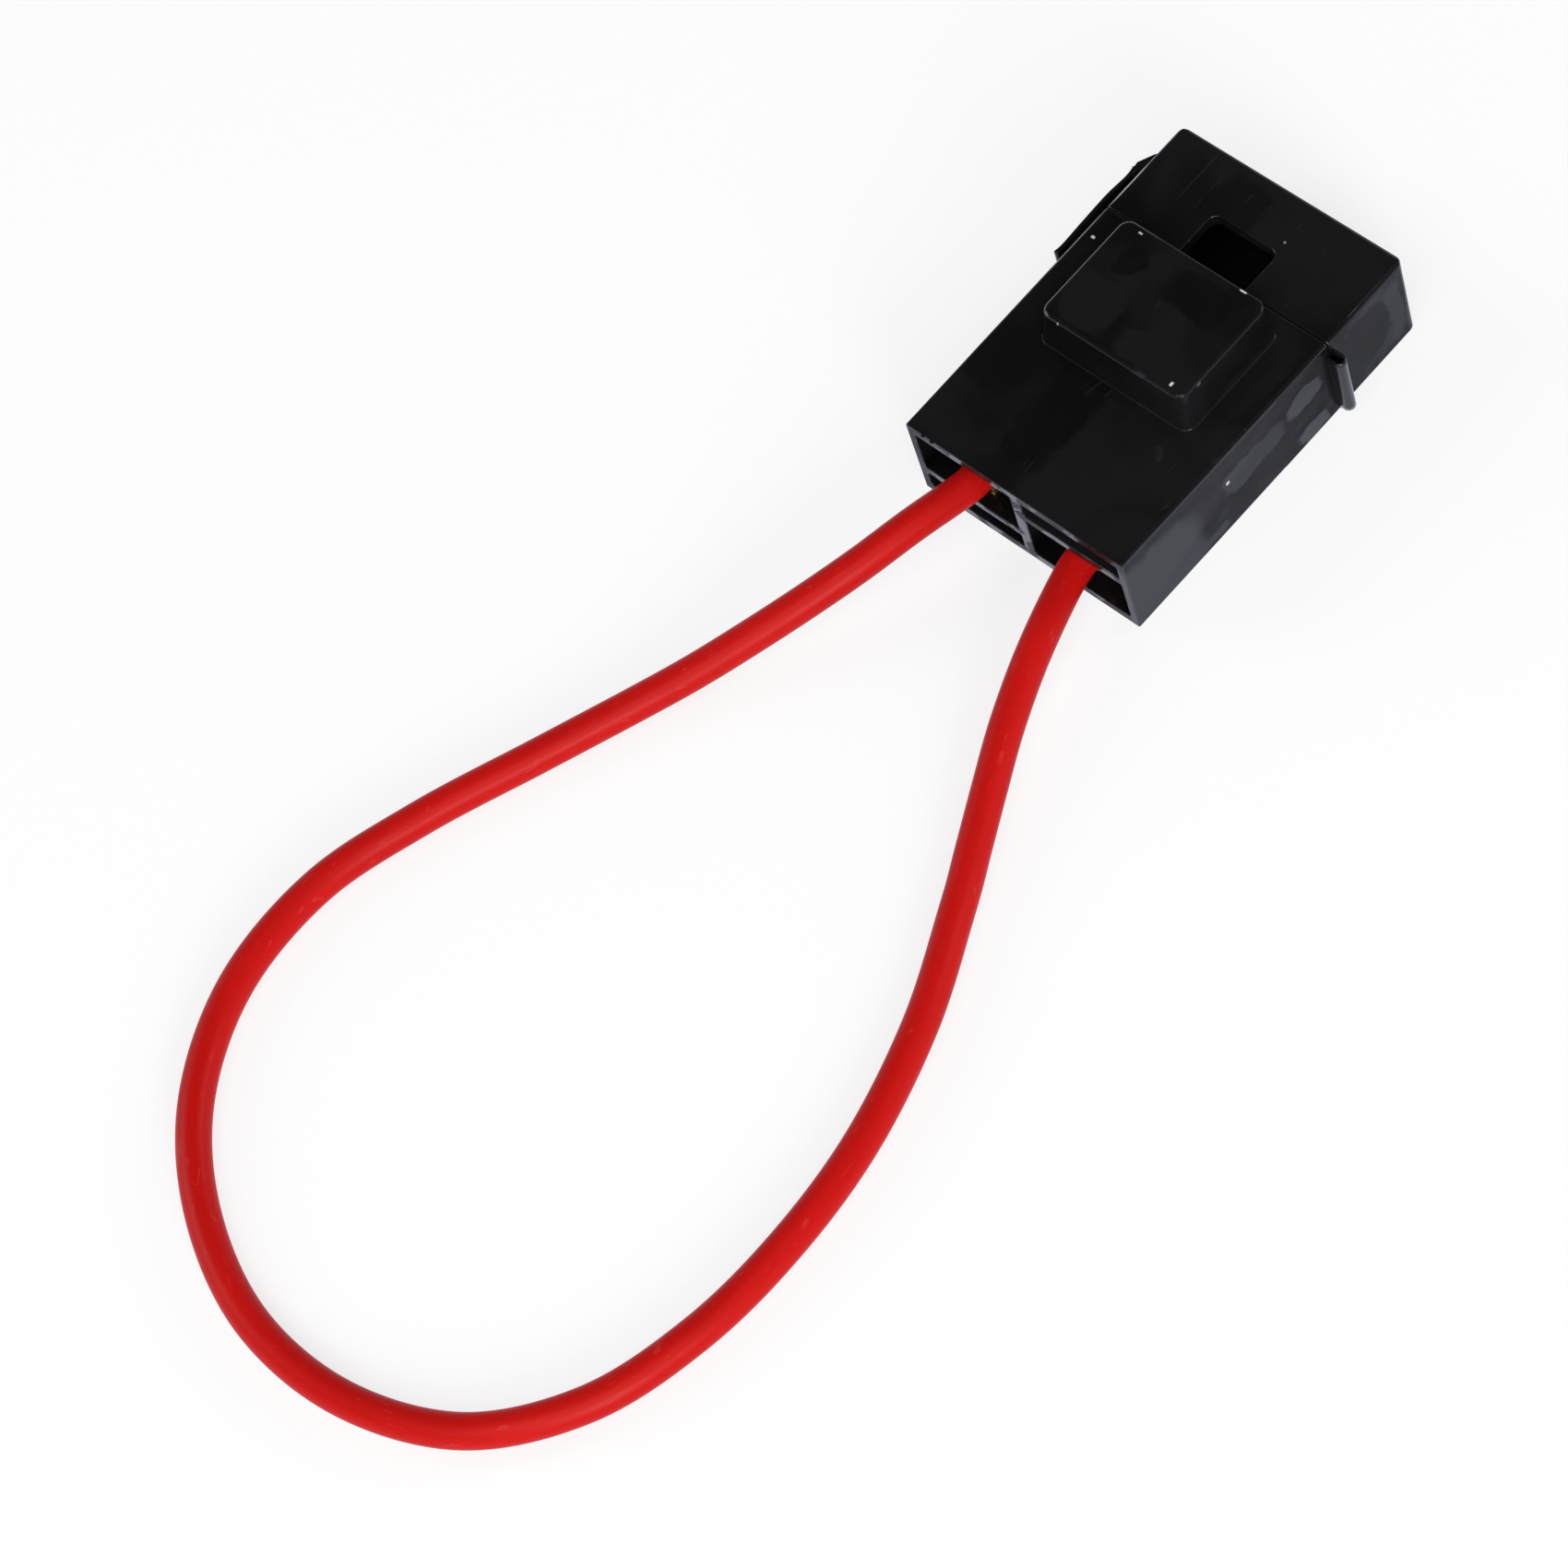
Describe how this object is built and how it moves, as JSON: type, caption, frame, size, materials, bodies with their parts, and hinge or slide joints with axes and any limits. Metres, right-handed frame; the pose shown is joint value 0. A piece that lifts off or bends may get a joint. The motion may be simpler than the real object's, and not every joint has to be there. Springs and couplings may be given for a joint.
{
  "type": "inline fuse holder",
  "caption": "Flat moulded holder for a blade fuse in a wire lead, with a flip cap on a living hinge, a side latch, crimped brass terminals and an uncut loop of wire.",
  "frame": {"origin": "centre of the flat back face, which lies on the table, measured on the housing without the wire loop", "axes": "+X towards the hinge side, +Y from the wire end to the cap end, +Z out of the back face towards the raised pocket"},
  "size_m": [0.0561, 0.1279, 0.0138],
  "materials": {
    "black_plastic": "moulded, glossy, slightly smudged",
    "brass": "pressed strip",
    "copper": "bare stranded copper",
    "red_insulation": "extruded, satin to glossy"
  },
  "bodies": {
    "base": {"body_shell": "black_plastic", "living_hinge": "black_plastic", "terminal_left": "brass", "terminal_right": "brass", "strands_left": "copper", "strands_right": "copper", "wire_loop": "red_insulation"},
    "cap": {"cap_shell": "black_plastic"}
  },
  "joints": [
    {"name": "cap_hinge", "type": "hinge", "parent": "base", "child": "cap", "pos_m": [0.013, 0.00795, 0.0049], "axis": [0, 0, -1], "range_deg": [0, 175], "deforming": ["living_hinge"]}
  ]
}
